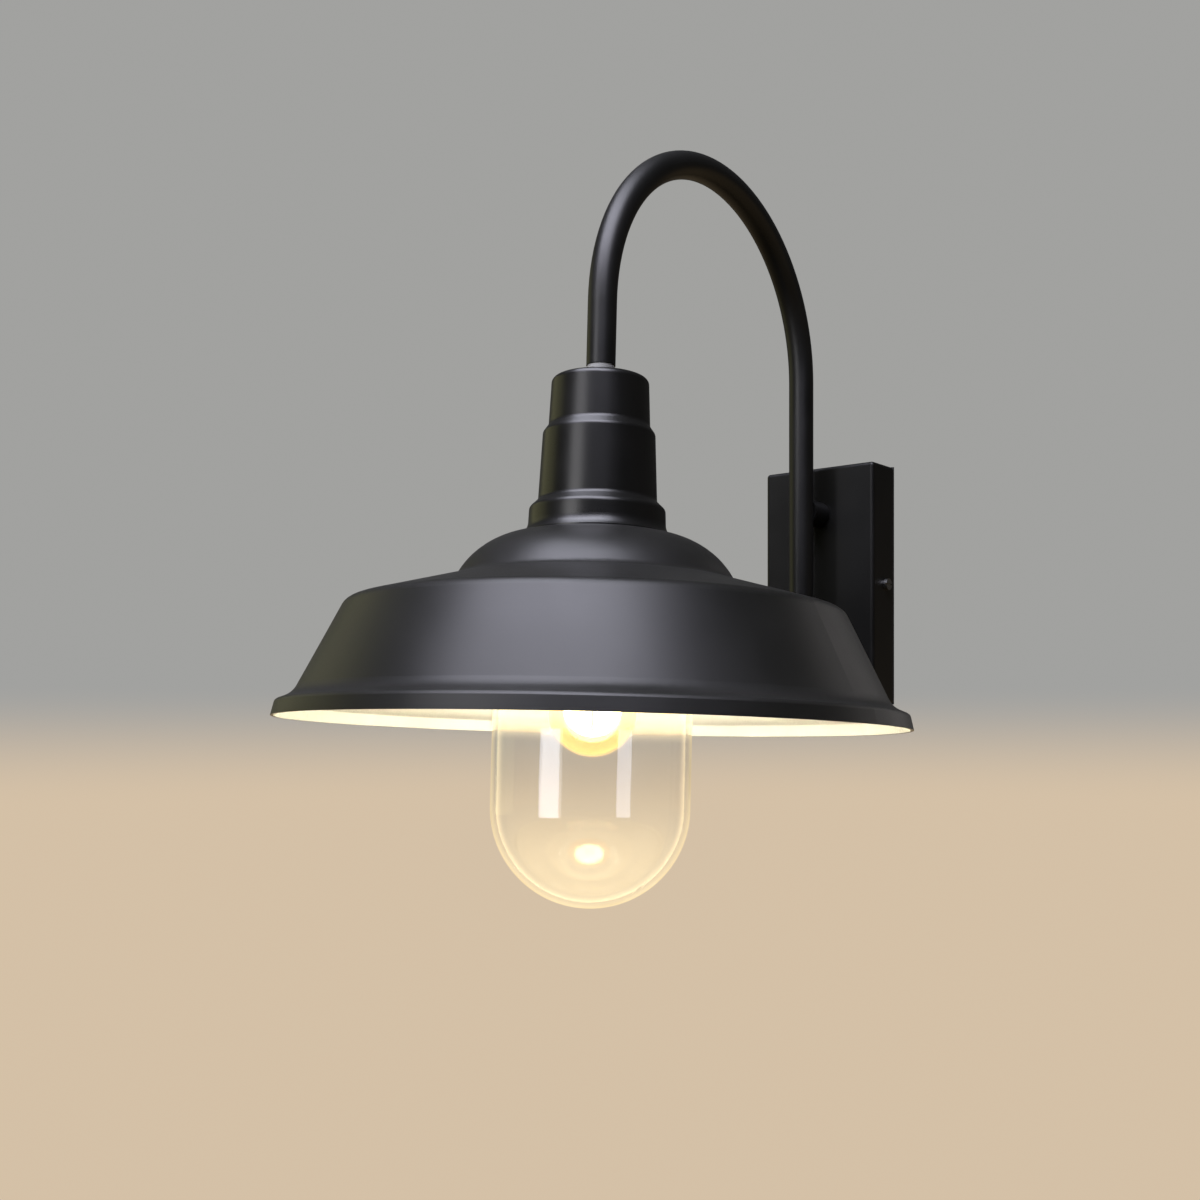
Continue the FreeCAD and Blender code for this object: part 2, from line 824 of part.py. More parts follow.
def earth_nut():
    """Hexagonal nut that clamps the lug on the stud."""
    length = "earth_nut_front - lug_front"
    nut = hex_nut("earth_nut", "earth_nut_corner", "stud_radius", "lug_front", length)
    out_from_wall(nut, "earth_x", "earth_z")
    sub_parts.append(nut)


def standoff(label, height):
    """Short round spacer between the box and the arm, saddled to the tube."""
    body = new_body(label)
    place = [("0", height)]
    length = "standoff_front - box_depth"
    cylinders(body, "spacer", "XZ_Plane", place, "standoff_radius", "box_depth", length)
    tube = [("0", "- arm_offset")]
    low = f"{height} - standoff_radius"
    tall = "standoff_radius + standoff_radius"
    bores(body, "saddle", "XY_Plane", tube, "tube_radius", low, tall)
    deep = "nipple_front - box_depth"
    bores(body, "thread", "XZ_Plane", place, "nipple_radius", "box_depth", deep)
    rest = "standoff_front - nipple_front"
    bores(body, "wire_way", "XZ_Plane", place, "standoff_bore", "nipple_front", rest)


def standoff_nipples():
    """Two hollow threaded nipples that draw the standoffs to the cover. The upper one takes the wires."""
    body = new_body("standoff_nipples")
    length = "nipple_front - nipple_back"
    cylinders(body, "tubes", "XZ_Plane", STANDOFFS, "nipple_radius", "nipple_back", length)
    bores(body, "bores", "XZ_Plane", STANDOFFS, "nipple_bore", "nipple_back", length)


def standoff_washers():
    """Two washers inside the cover."""
    body = new_body("standoff_washers")
    start = "nipple_washer_back"
    length = "box_depth - box_wall - nipple_washer_back"
    cylinders(body, "discs", "XZ_Plane", STANDOFFS, "nipple_washer_radius", start, length)
    bores(body, "holes", "XZ_Plane", STANDOFFS, "nipple_radius", start, length)


def standoff_locknuts():
    """Two hexagonal locknuts inside the cover."""
    length = "nipple_washer_back - nipple_nut_back"
    nuts = []
    for name, height in (("upper", "standoff_height"), ("lower", "- standoff_height")):
        label = f"{name}_locknut"
        nut = hex_nut(label, "nipple_nut_corner", "nipple_radius", "nipple_nut_back", length)
        out_from_wall(nut, ORIGIN, height)
        nuts.append(nut)
    group = doc.addObject("Part::Compound", "standoff_locknuts")
    group.Links = nuts
    group.Label = "standoff_locknuts"
    sub_parts.append(group)


# ----------------------------------------------------------------------------------------------- arm


def arm_tube():
    """The gooseneck: one steel tube, up from behind the shade, over the bend and down to the neck."""
    body = new_body("arm_tube")
    spine = new_sketch(body, "arm_line", "YZ_Plane")
    rear = -size("arm_offset")
    centre = Vector(rear - size("bend_radius"), size("spring_height"), 0)
    circle = Part.Circle(centre, Vector(0, 0, 1), size("bend_radius"))
    turn = math.radians(size("arm_sweep"))
    start = Vector(rear, -size("tail_depth"), 0)
    top = Vector(rear, size("spring_height"), 0)
    bend = Part.ArcOfCircle(circle, 0, turn)
    down = Vector(-math.sin(turn), math.cos(turn), 0) * size("seal_top")
    tail_leg = spine.addGeometry(Part.LineSegment(start, top))
    arc = spine.addGeometry(bend)
    head_leg = spine.addGeometry(Part.LineSegment(bend.EndPoint, bend.EndPoint + down))
    bound_distance(spine, "DistanceX", tail_leg, 1, "- arm_offset")
    bound_distance(spine, "DistanceY", tail_leg, 1, "- tail_depth")
    bound_distance(spine, "DistanceX", tail_leg, 2, "- arm_offset")
    bound_distance(spine, "DistanceY", tail_leg, 2, "spring_height")
    spine.addConstraint(Sketcher.Constraint("Tangent", tail_leg, 2, arc, 1))
    bound_radius(spine, arc, "bend_radius")
    spine.addConstraint(Sketcher.Constraint("Tangent", arc, 2, head_leg, 1))
    direction = turn + math.pi / 2 - 2 * math.pi
    rule = spine.addConstraint(Sketcher.Constraint("Angle", head_leg, direction))
    spine.setExpression(f"Constraints[{rule}]", f"{SHEET}.arm_sweep * 1 deg - 270 deg")
    rule = spine.addConstraint(Sketcher.Constraint("Distance", head_leg, size("seal_top")))
    bind(spine, f"Constraints[{rule}]", "seal_top")
    section = new_sketch(body, "arm_section", "XY_Plane", "- tail_depth")
    for radius in ("tube_radius", "tube_bore"):
        draw_circles(section, [("0", "- arm_offset")], radius)
    pipe = body.newObject("PartDesign::AdditivePipe", "tube")
    pipe.Profile = section
    pipe.Spine = (spine, [])
    pipe.Transition = "Transformed"
    reach = "tube_radius"
    bores(body, "wire_holes", "XZ_Plane", STANDOFFS, "standoff_bore", "arm_offset", reach, False)


def arm_end_cap():
    """Plug in the lower end of the tube."""
    body = new_body("arm_end_cap")
    revolve(
        body,
        "plug",
        [
            ("0", "end_cap_spigot"),
            ("tube_bore", "end_cap_spigot"),
            ("tube_bore", "0"),
            ("tube_radius", "0"),
            ("tube_radius", "- end_cap_length"),
            ("0", "- end_cap_length"),
        ],
    )
    round_circle(body, "plug_edge", "tube_radius", "- end_cap_length", "seal_edge")
    place = f"placement(vector(0; {formula('- arm_offset')}; {formula('- tail_depth')})"
    body.setExpression("Placement", place + "; rotation(vector(1; 0; 0); 0))")


def arm_nipple():
    """Hollow threaded nipple from the tube's end down through the neck's roof."""
    corners = ring_corners("arm_nipple_bore", "tube_bore", "arm_nipple_top", "arm_nipple_foot")
    turned("arm_nipple", corners)


def neck_seal():
    """Pale sealing ring between the tube's end and the neck."""
    body = turned("neck_seal", ring_corners("arm_hole_radius", "seal_radius", "seal_top", "neck_top"))
    round_circle(body, "seal_round", "seal_radius", "seal_top", "seal_edge")


def neck_washer():
    """Washer under the neck's roof."""
    corners = ring_corners("arm_hole_radius", "neck_washer_radius", "neck_roof", "neck_washer_foot")
    turned("neck_washer", corners)


def neck_locknut():
    """Locknut that draws the neck up to the arm."""
    length = "neck_nut_foot - neck_washer_foot"
    nut = hex_nut("neck_locknut", "neck_nut_corner", "tube_bore", "neck_washer_foot", length)
    hang(nut)
    sub_parts.append(nut)


# ---------------------------------------------------------------------------------------------- head


SCREW_COUNT = 3
FIRST_SCREW = [("0", "gallery_pitch")]


def neck_housing():
    """Stepped cast neck: an upper section, a wider middle and a flared collar with a flange inside."""
    body = turned(
        "neck_housing",
        [
            ("arm_hole_radius", "neck_top"),
            ("neck_top_radius", "neck_top"),
            ("upper_foot_radius", "upper_foot"),
            ("middle_head_radius", "middle_head"),
            ("middle_foot_radius", "middle_foot"),
            ("collar_head_radius", "collar_head"),
            ("collar_waist_radius", "collar_waist", "right", "collar_flare"),
            ("collar_lip_radius", "collar_lip"),
            ("collar_lip_radius", "collar_foot"),
            ("flange_bore", "collar_foot"),
            ("flange_bore", "flange_head"),
            ("middle_bore", "flange_head"),
            ("middle_bore", "middle_bore_head"),
            ("upper_bore", "upper_bore_foot"),
            ("upper_bore", "neck_roof"),
            ("arm_hole_radius", "neck_roof"),
        ],
    )
    round_circle(body, "top_round", "neck_top_radius", "neck_top", "neck_top_edge")
    round_circle(body, "upper_hollow", "upper_foot_radius", "upper_foot", "step_hollow")
    round_circle(body, "middle_round", "middle_head_radius", "middle_head", "step_edge")
    round_circle(body, "middle_hollow", "middle_foot_radius", "middle_foot", "step_hollow")
    round_circle(body, "collar_round", "collar_head_radius", "collar_head", "step_edge")
    depth = "collar_foot - gallery_screw_top"
    radius = "gallery_screw_radius"
    hole = bores(body, "thread", "XY_Plane", FIRST_SCREW, radius, "collar_foot", depth, False)
    polar(body, "threads", [hole], SCREW_COUNT)


def shade():
    """Spun shade: a domed crown, a shallow shoulder, a conical skirt and a stepped rim."""
    body = turned(
        "shade",
        [
            ("0", "collar_foot"),
            ("dome_start_radius", "collar_foot", "left", "dome_radius"),
            ("dome_foot_radius", "dome_foot"),
            ("shoulder_radius", "shoulder_depth"),
            ("skirt_radius", "skirt_depth"),
            ("ledge_radius", "ledge_depth"),
            ("rim_radius", "rim_depth"),
            ("0", "rim_depth"),
        ],
    )
    round_circle(body, "crown_foot", "dome_foot_radius", "dome_foot", "dome_foot_fillet")
    round_circle(body, "shoulder_round", "shoulder_radius", "shoulder_depth", "shoulder_edge")
    round_circle(body, "skirt_foot", "skirt_radius", "skirt_depth", "skirt_fillet")
    round_circle(body, "ledge_round", "ledge_radius", "ledge_depth", "ledge_edge")
    hollow(body, "shell", "rim_depth", "shade_wall")
    top = "collar_foot"
    bores(body, "crown_hole", "XY_Plane", [("0", "0")], "flange_bore", top, "dome_start_radius")
    radius = "gallery_hole_radius"
    hole = bores(body, "screw_hole", "XY_Plane", FIRST_SCREW, radius, top, "dome_start_radius")
    polar(body, "screw_holes", [hole], SCREW_COUNT)


def glass_carrier():
    """Cast cup under the shade's crown. The glass screws into its mouth."""
    top = "collar_foot + shade_wall"
    body = turned(
        "glass_carrier",
        [
            ("carrier_hole", top),
            ("carrier_top_radius", top),
            ("carrier_bend_radius", "carrier_bend_depth"),
            ("carrier_radius", "carrier_shoulder"),
            ("carrier_radius", "carrier_foot"),
            ("thread_radius", "carrier_foot"),
            ("thread_radius", "thread_head"),
            ("carrier_inner_radius", "thread_head"),
            ("carrier_inner_radius", "carrier_inner_depth"),
            ("carrier_floor_radius", "carrier_plate"),
            ("carrier_hole", "carrier_plate"),
        ],
    )
    plate = "carrier_plate - collar_foot - shade_wall"
    radius = "gallery_hole_radius"
    hole = bores(body, "screw_hole", "XY_Plane", FIRST_SCREW, radius, top, plate)
    polar(body, "screw_holes", [hole], SCREW_COUNT)
    places = [("- holder_screw_x", "0"), ("holder_screw_x", "0")]
    bores(body, "holder_holes", "XY_Plane", places, "holder_screw_radius", top, plate)
    earth = [("0", "head_lug_y")]
    bores(body, "earth_thread", "XY_Plane", earth, "head_earth_screw_radius", top, plate)


def gallery_screws():
    """Three pan-head screws up through the carrier and the shade into the collar's flange."""
    body = head_body("gallery_screws")
    start = "gallery_screw_top"
    length = "carrier_plate - gallery_screw_top"
    radius = "gallery_screw_radius"
    shank = cylinders(body, "shank", "XY_Plane", FIRST_SCREW, radius, start, length)
    face = "carrier_plate"
    height = "gallery_head_height"
    radius = "gallery_head_radius"
    head = cylinders(body, "head", "XY_Plane", FIRST_SCREW, radius, face, height)
    cut = rectangle(
        "- slot_half_width",
        "slot_half_width",
        "gallery_pitch - gallery_head_radius",
        "gallery_pitch + gallery_head_radius",
    )
    slot_face = "carrier_plate + gallery_head_height - gallery_slot_depth"
    groove = slot(body, "slot", "XY_Plane", cut, slot_face, "gallery_slot_depth")
    polar(body, "all_screws", [shank, head, groove], SCREW_COUNT)


def glass_gasket():
    """Rubber ring that seals the glass to the carrier."""
    turned("glass_gasket", ring_corners("gasket_bore", "gasket_radius", "gasket_head", "gasket_foot"))


def glass_dome():
    """Clear glass: a threaded neck, a straight body and a hemispherical bottom."""
    inner = "glass_radius - glass_wall"
    body = turned(
        "glass_dome",
        [
            ("glass_neck_radius - glass_wall", "glass_top"),
            ("glass_neck_radius", "glass_top"),
            ("glass_neck_radius", "glass_shoulder"),
            ("glass_radius", "glass_shoulder"),
            ("glass_radius", "glass_centre", "left", "glass_radius"),
            ("0", "glass_centre + glass_radius"),
            ("0", "glass_centre + glass_radius - glass_wall", "right", inner),
            (inner, "glass_centre"),
            (inner, "glass_neck_inner_foot"),
            ("glass_neck_radius - glass_wall", "glass_neck_inner_foot"),
        ],
    )
    round_circle(body, "shoulder_round", "glass_radius", "glass_shoulder", "glass_edge")


def lampholder_body():
    """Porcelain lampholder with two wire pockets and a bore for the screw shell."""
    floor = "holder_floor"
    body = turned(
        "lampholder_body",
        [
            ("0", "carrier_plate"),
            ("holder_radius", "carrier_plate"),
            ("holder_radius", "holder_foot"),
            ("shell_radius", "holder_foot"),
            ("shell_radius", floor),
            ("0", floor),
        ],
    )
    round_circle(body, "foot_round", "holder_radius", "holder_foot", "holder_edge")
    depth = "wire_pocket_depth - carrier_plate"
    for name, x in (("left", "- wire_entry_x"), ("right", "wire_entry_x")):
        corners = rectangle(
            f"{x} - wire_pocket_half_width",
            f"{x} + wire_pocket_half_width",
            "- wire_pocket_half_length",
            "wire_pocket_half_length",
        )
        slot(body, name + "_pocket", "XY_Plane", corners, "carrier_plate", depth)
    places = [("- holder_screw_x", "0"), ("holder_screw_x", "0")]
    deep = "holder_screw_foot - carrier_plate"
    radius = "holder_screw_radius"
    bores(body, "screw_threads", "XY_Plane", places, radius, "carrier_plate", deep)


def lampholder_shell():
    """Brass screw shell of the lampholder."""
    turned(
        "lampholder_shell",
        [
            ("shell_hole", "holder_floor"),
            ("shell_radius", "holder_floor"),
            ("shell_radius", "shell_foot"),
            ("shell_bore", "shell_foot"),
            ("shell_bore", "shell_top"),
            ("shell_hole", "shell_top"),
        ],
    )


def lampholder_contact():
    """Centre contact of the lampholder."""
    turned(
        "lampholder_contact",
        [
            ("0", "holder_floor"),
            ("spring_post_radius", "holder_floor"),
            ("spring_post_radius", "shell_top"),
            ("spring_radius", "spring_foot"),
            ("0", "spring_foot"),
        ],
    )


def lampholder_terminals():
    """Two brass terminal blocks in the lampholder's pockets."""
    body = head_body("lampholder_terminals")
    length = "wire_pocket_depth - terminal_block_head"
    for name, x in (("left", "- wire_entry_x"), ("right", "wire_entry_x")):
        corners = rectangle(
            f"{x} - terminal_block_half_width",
            f"{x} + terminal_block_half_width",
            "- terminal_block_half_length",
            "terminal_block_half_length",
        )
        bar(body, name, "XY_Plane", corners, "terminal_block_head", length)


def lampholder_screws():
    """Two screws down through the carrier's plate into the porcelain."""
    body = head_body("lampholder_screws")
    places = [("- holder_screw_x", "0"), ("holder_screw_x", "0")]
    top = "collar_foot + shade_wall"
    height = "holder_screw_head_height"
    start = f"{top} - {height}"
    length = "holder_screw_foot - collar_foot - shade_wall"
    cylinders(body, "shanks", "XY_Plane", places, "holder_screw_radius", top, length)
    cylinders(body, "heads", "XY_Plane", places, "holder_screw_head_radius", start, height)
    for i, (x, _) in enumerate(places):
        cut = rectangle(
            f"{x} - slot_half_width",
            f"{x} + slot_half_width",
            "- holder_screw_head_radius",
            "holder_screw_head_radius",
        )
        slot(body, f"slot_{i}", "XY_Plane", cut, start, "holder_screw_slot")


def head_earth_lug():
    """Ring tongue on the earth wire's lower end, on top of the carrier's plate."""
    body = head_body("head_earth_lug")
    start = "collar_foot + shade_wall - head_lug_thickness"
    thick = "head_lug_thickness"
    place = [("0", "head_lug_y")]
    cylinders(body, "ring", "XY_Plane", place, "lug_radius", start, thick)
    near = "head_lug_y - lug_radius"
    tongue = rectangle("- barrel_radius", "barrel_radius", "head_barrel_start", near)
    wide = rectangle("- barrel_radius", "barrel_radius", near, "head_lug_y")
    bar(body, "tongue", "XY_Plane", tongue, start, thick)
    bar(body, "root", "XY_Plane", wide, start, thick)
    barrel = new_sketch(body, "barrel_circle", "XZ_Plane", "- head_barrel_start")
    draw_circles(barrel, [("0", "head_barrel_depth")], "barrel_radius")
    feature = pad(body, "barrel", barrel, "head_lug_y - lug_radius - head_barrel_start")
    feature.Reversed = True
    bores(body, "hole", "XY_Plane", place, "lug_hole", start, thick)


def head_earth_screw():
    """Screw that clamps the lower earth lug on the carrier's plate."""
    body = head_body("head_earth_screw")
    place = [("0", "head_lug_y")]
    lug = "collar_foot + shade_wall - head_lug_thickness"
    length = "carrier_plate - collar_foot - shade_wall + head_lug_thickness"
    cylinders(body, "shank", "XY_Plane", place, "head_earth_screw_radius", lug, length)
    height = "head_earth_head_height"
    start = f"{lug} - {height}"
    cylinders(body, "head", "XY_Plane", place, "head_earth_head_radius", start, height)
    cut = rectangle(
        "- head_earth_head_radius",
        "head_earth_head_radius",
        "head_lug_y - slot_half_width",
        "head_lug_y + slot_half_width",
    )
    slot(body, "slot", "XY_Plane", cut, start, "slot_depth")


# ---------------------------------------------------------------------------------------------- bulb


def bulb_contact():
    """Solder contact on the bulb's foot."""
    turned("bulb_contact", ring_corners("0", "contact_radius", "bulb_tip", "contact_foot"))


def bulb_insulator():
    """Glass insulator between the foot contact and the screw cap."""
    turned(
        "bulb_insulator",
        [
            ("0", "contact_foot"),
            ("insulator_top_radius", "contact_foot"),
            ("insulator_radius", "insulator_foot"),
            ("0", "insulator_foot"),
        ],
    )


def bulb_cap():
    """Screw cap of the bulb."""
    inner = "cap_radius - cap_wall"
    turned(
        "bulb_cap",
        [
            ("0", "insulator_foot"),
            ("insulator_radius", "insulator_foot"),
            ("cap_radius", "insulator_foot + cap_wall + cap_wall"),
            ("cap_radius", "cap_foot"),
            (inner, "cap_foot"),
            (inner, "insulator_foot + cap_wall + cap_wall"),
            ("0", "insulator_foot + cap_wall + cap_wall"),
        ],
    )


def bulb_envelope():
    """Glass globe of the bulb, with its neck inside the cap."""
    turned(
        "bulb_envelope",
        [
            ("neck_glass_radius - globe_wall", "neck_glass_top"),
            ("neck_glass_radius", "neck_glass_top"),
            ("neck_glass_radius", "cap_foot"),
            ("globe_join_radius", "globe_join_depth", "left", "globe_radius"),
            ("0", "globe_bottom"),
            ("0", "globe_bottom - globe_wall", "right", "globe_radius - globe_wall"),
            ("globe_inner_join_radius", "globe_inner_join_depth"),
            ("neck_glass_radius - globe_wall", "cap_foot"),
        ],
    )


def bulb_stem():
    """Glass stem with its mast and the ring that carries the filaments' feet."""
    turned(
        "bulb_stem",
        [
            ("0", "stem_base"),
            ("stem_foot_radius", "stem_base"),
            ("stem_head_radius", "stem_waist"),
            ("stem_head_radius", "stem_tip"),
            ("mast_radius", "stem_tip"),
            ("mast_radius", "mast_tip"),
            ("mast_ring_radius", "mast_tip"),
            ("mast_ring_radius", "mast_tip + mast_ring_height"),
            ("0", "mast_tip + mast_ring_height"),
        ],
    )


def bulb_filaments():
    """Four upright filament sticks round the mast."""
    body = head_body("bulb_filaments")
    start = "filament_head"
    length = "filament_foot - filament_head"
    place = [("filament_pitch", "0")]
    stick = cylinders(body, "stick", "XY_Plane", place, "filament_radius", start, length)
    polar(body, "sticks", [stick], 4)


# --------------------------------------------------------------------------------------------- wires


def rounded(points, radii):
    """Straight runs through points, joined by tangent arcs of the given radii."""
    edges = []
    start = points[0]
    for before, corner, after, radius in zip(points, points[1:], points[2:], radii):
        back = (before - corner).normalize()
        on = (after - corner).normalize()
        half = back.getAngle(on) / 2
        reach = radius / math.tan(half)
        entry = corner + back * reach
        leave = corner + on * reach
        middle = corner + (back + on).normalize() * (radius / math.sin(half) - radius)
        edges.append(Part.LineSegment(start, entry).toShape())
        edges.append(Part.Arc(entry, middle, leave).toShape())
        start = leave
    edges.append(Part.LineSegment(start, points[-1]).toShape())
    return edges


def tube_along(edges, label):
    """A round wire swept along a route of lines and arcs."""
    route = Part.Wire(edges)
    start = edges[0].valueAt(edges[0].FirstParameter)
    direction = edges[0].tangentAt(edges[0].FirstParameter)
    section = Part.Wire(Part.Circle(start, direction, size("wire_radius")).toShape())
    solid = route.makePipeShell([section], True, False)
    expected = math.pi * size("wire_radius") ** 2 * route.Length
    if abs(solid.Volume - expected) > 0.01 * expected:
        raise RuntimeError(f"{label}: volume {solid.Volume:.0f}, expected {expected:.0f}")
    return solid


def arm_wire(label, x, box_points, box_radii, head_points, head_radii):
    """One insulated wire from the box, through the upper standoff and the arm, down into the head."""
    rear = -size("arm_offset")
    spring = size("spring_height")
    reach = size("bend_radius")
    foot = Vector(x, rear, size("standoff_height"))
    spring_point = Vector(x, rear, spring)
    radii = [*box_radii, size("wire_box_bend"), size("wire_arm_bend")]
    rise = rounded([*box_points, foot, spring_point], radii)
    turn = math.radians(size("arm_sweep"))
    crown = [
        Vector(x, rear - reach + reach * math.cos(a), spring + reach * math.sin(a))
        for a in (turn / 2, turn)
    ]
    bend = Part.Arc(spring_point, *crown).toShape()
    head = head_placement()
    fall = rounded([head.multVec(p) for p in head_points], head_radii)
    wire = doc.addObject("Part::Feature", label)
    wire.Label = label
    wire.Shape = tube_along([*rise, bend, *fall], label)
    wire.Placement = Placement()
    sub_parts.append(wire)


def power_wire(label, side):
    """Line or neutral: terminal block to lampholder terminal, on the side given by -1 or 1."""
    x = side * size("wire_spacing")
    way = side * size("terminal_offset")
    back = -size("terminal_axis")
    block = [Vector(way, back, size("terminal_length")), Vector(x, back, size("standoff_height"))]
    entry = side * size("wire_entry_x")
    down = [
        Vector(x, 0, 0),
        Vector(x, 0, size("wire_spread_head")),
        Vector(entry, 0, size("wire_spread_foot")),
        Vector(entry, 0, size("terminal_block_head")),
    ]
    arm_wire(label, x, block, [], down, [size("wire_neck_bend")] * 2)


def earth_wire():
    """Earth: bracket stud to the carrier's plate."""
    back = -size("barrel_offset")
    lug = Vector(size("barrel_end"), back, size("earth_z"))
    above = Vector(0, back, size("earth_z"))
    behind = Vector(0, back, size("standoff_height"))
    turn_depth = size("head_barrel_depth")
    down = [
        Vector(0, 0, 0),
        Vector(0, 0, size("wire_spread_head")),
        Vector(0, size("wire_spacing"), turn_depth),
        Vector(0, size("head_barrel_start"), turn_depth),
    ]
    radii = [size("wire_neck_bend"), size("wire_earth_bend")]
    arm_wire("wire_earth", 0.0, [lug, above, behind], [size("wire_lug_bend")], down, radii)


# ------------------------------------------------------------------------------------------- document


def check_document():
    """Stop if any object failed or any sub-part has no valid shape."""
    for item in doc.Objects:
        if "Invalid" in item.State or "Error" in item.State:
            raise RuntimeError(f"{item.Label}: {item.State}")
    for item in sub_parts:
        if item.Shape.isNull() or not item.Shape.isValid() or not item.Shape.Solids:
            raise RuntimeError(f"{item.Label}: no valid shape")


def write_parts():
    """Write each sub-part to its own STEP file."""
    os.makedirs("parts", exist_ok=True)
    for item in sub_parts:
        item.Shape.exportStep(f"parts/{item.Label}.step")
        solids = len(item.Shape.Solids)
        print(f"{item.Label}: {solids} solid(s), {item.Shape.Volume / 1000:.2f} cm3")


def main():
    fill_sheet()
    wall_bracket()
    back_seal()
    wall_box()
    cover_screws()
    cable_grommet()
    terminal_block()
    terminal_inserts()
    terminal_screws()
    block_screw()
    earth_stud()
    earth_lug()
    earth_nut()
    standoff("standoff_upper", "standoff_height")
    standoff("standoff_lower", "- standoff_height")
    standoff_nipples()
    standoff_washers()
    standoff_locknuts()
    arm_tube()
    arm_end_cap()
    arm_nipple()
    neck_seal()
    neck_washer()
    neck_locknut()
    neck_housing()
    shade()
    glass_carrier()
    gallery_screws()
    glass_gasket()
    glass_dome()
    lampholder_body()
    lampholder_shell()
    lampholder_contact()
    lampholder_terminals()
    lampholder_screws()
    head_earth_lug()
    head_earth_screw()
    bulb_contact()
    bulb_insulator()
    bulb_cap()
    bulb_envelope()
    bulb_stem()
    bulb_filaments()
    power_wire("wire_line", -1)
    power_wire("wire_neutral", 1)
    earth_wire()
    doc.recompute()
    check_document()
    write_parts()


main()
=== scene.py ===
"""Looks of the gooseneck wall lantern: materials, lit bulb, studio and camera. Metres."""

import math

import bpy
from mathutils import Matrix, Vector


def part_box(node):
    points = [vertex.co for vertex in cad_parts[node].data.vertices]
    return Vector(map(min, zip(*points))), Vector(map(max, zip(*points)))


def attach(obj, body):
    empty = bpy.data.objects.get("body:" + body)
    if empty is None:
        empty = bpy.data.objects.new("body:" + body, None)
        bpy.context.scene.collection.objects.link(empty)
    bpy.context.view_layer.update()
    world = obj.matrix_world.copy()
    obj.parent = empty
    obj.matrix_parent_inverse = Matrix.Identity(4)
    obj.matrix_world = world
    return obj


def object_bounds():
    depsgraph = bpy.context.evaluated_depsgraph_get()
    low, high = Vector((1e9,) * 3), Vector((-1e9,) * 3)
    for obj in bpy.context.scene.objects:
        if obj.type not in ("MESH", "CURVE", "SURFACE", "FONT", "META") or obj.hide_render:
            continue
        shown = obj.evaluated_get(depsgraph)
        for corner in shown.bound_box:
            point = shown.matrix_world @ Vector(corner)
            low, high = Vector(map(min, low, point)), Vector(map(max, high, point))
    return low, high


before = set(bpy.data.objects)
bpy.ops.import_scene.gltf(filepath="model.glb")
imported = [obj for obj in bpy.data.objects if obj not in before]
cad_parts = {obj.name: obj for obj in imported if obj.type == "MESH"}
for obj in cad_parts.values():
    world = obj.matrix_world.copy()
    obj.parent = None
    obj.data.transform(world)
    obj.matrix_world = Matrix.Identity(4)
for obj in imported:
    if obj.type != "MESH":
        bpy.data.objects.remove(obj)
CAD_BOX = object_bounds()

MM = 0.001

# The head hangs from the end of the arm's bend and leans outward with it.
BEND_END = Vector((0.0, -0.249424, 0.127891))
LEAN = math.radians(2.23)
DOWN = Vector((0.0, -math.sin(LEAN), -math.cos(LEAN)))

# Depths below the end of the bend: a point inside the shade, and the point that the studio lights face.
SHADE_HEART = 0.25
LIGHTS_AIM = 0.19

# Camera: level, off to the right of the lantern, at the height of the shade's rim.
CAMERA_AZIMUTH = math.radians(38.46)
CAMERA_DISTANCE = 0.714
CAMERA_HEIGHT = -0.0919
CAMERA_SENSOR = 36.0
CAMERA_LENS = 42.156
CAMERA_SHIFT = (0.003, 0.10925)
CAMERA_CLIP = (0.01, 100.0)

# Sprayed paint: orange peel and fine grain.
PEEL_SIZE = 1.6 * MM
PEEL_DEPTH = 0.012 * MM
GRAIN_SIZE = 0.35 * MM
GRAIN_DEPTH = 0.002 * MM

# Painted lamplight in the glass, as emission though the glass is no lamp: the depths over which the upper
# painted glow fades out and the lower one grows, then the strength of each and of the painted glow at the
# glass's edges.
GLASS_TOP_FADE = (0.212, 0.226)
GLASS_LOW_FADE = (0.235, 0.305)
GLASS_TOP_PAINTED_GLOW = 0.3
GLASS_LOW_PAINTED_GLOW = 0.1
GLASS_EDGE_PAINTED_GLOW = 0.6

# Metals: the clean colour and the stained one.
ZINC = (0.62, 0.63, 0.64)
ZINC_STAIN = (0.5, 0.5, 0.48)
BRASS = (0.72, 0.53, 0.24)
BRASS_STAIN = (0.5, 0.34, 0.15)

# The ball of light inside the bulb.
BULB_LIGHT_POWER = 1.15
BULB_LIGHT_RADIUS = 20 * MM
BULB_LIGHT_COLOUR = (1.0, 0.93, 0.76)

# Studio floor and backdrop, and the heights between which the colour of one turns into that of the other.
FLOOR_DROP = 1.2
FLOOR_RADIUS = 20.0
FLOOR_SIDES = 96
SWEEP_RADIUS = 4.0
SWEEP_STEPS = 16
BACKDROP_HEIGHT = 16.0
BACKDROP_FADE = (-1.2, 0.7)
FLOOR_COLOUR = (0.66, 0.53, 0.385)
BACKDROP_COLOUR = (0.36, 0.36, 0.35)

# Surroundings that light the lantern and show in its gloss.
SKY = (0.07, 0.073, 0.09)
DARK_GROUND = (0.012, 0.012, 0.011)
WARM_GROUND = (0.12, 0.09, 0.05)
PALE_WALL = (0.09, 0.09, 0.085)
DARK_WALL = (0.045, 0.045, 0.043)
WARM_WALL = (0.24, 0.18, 0.11)


# ---------------------------------------------------------------------------------------- node trees


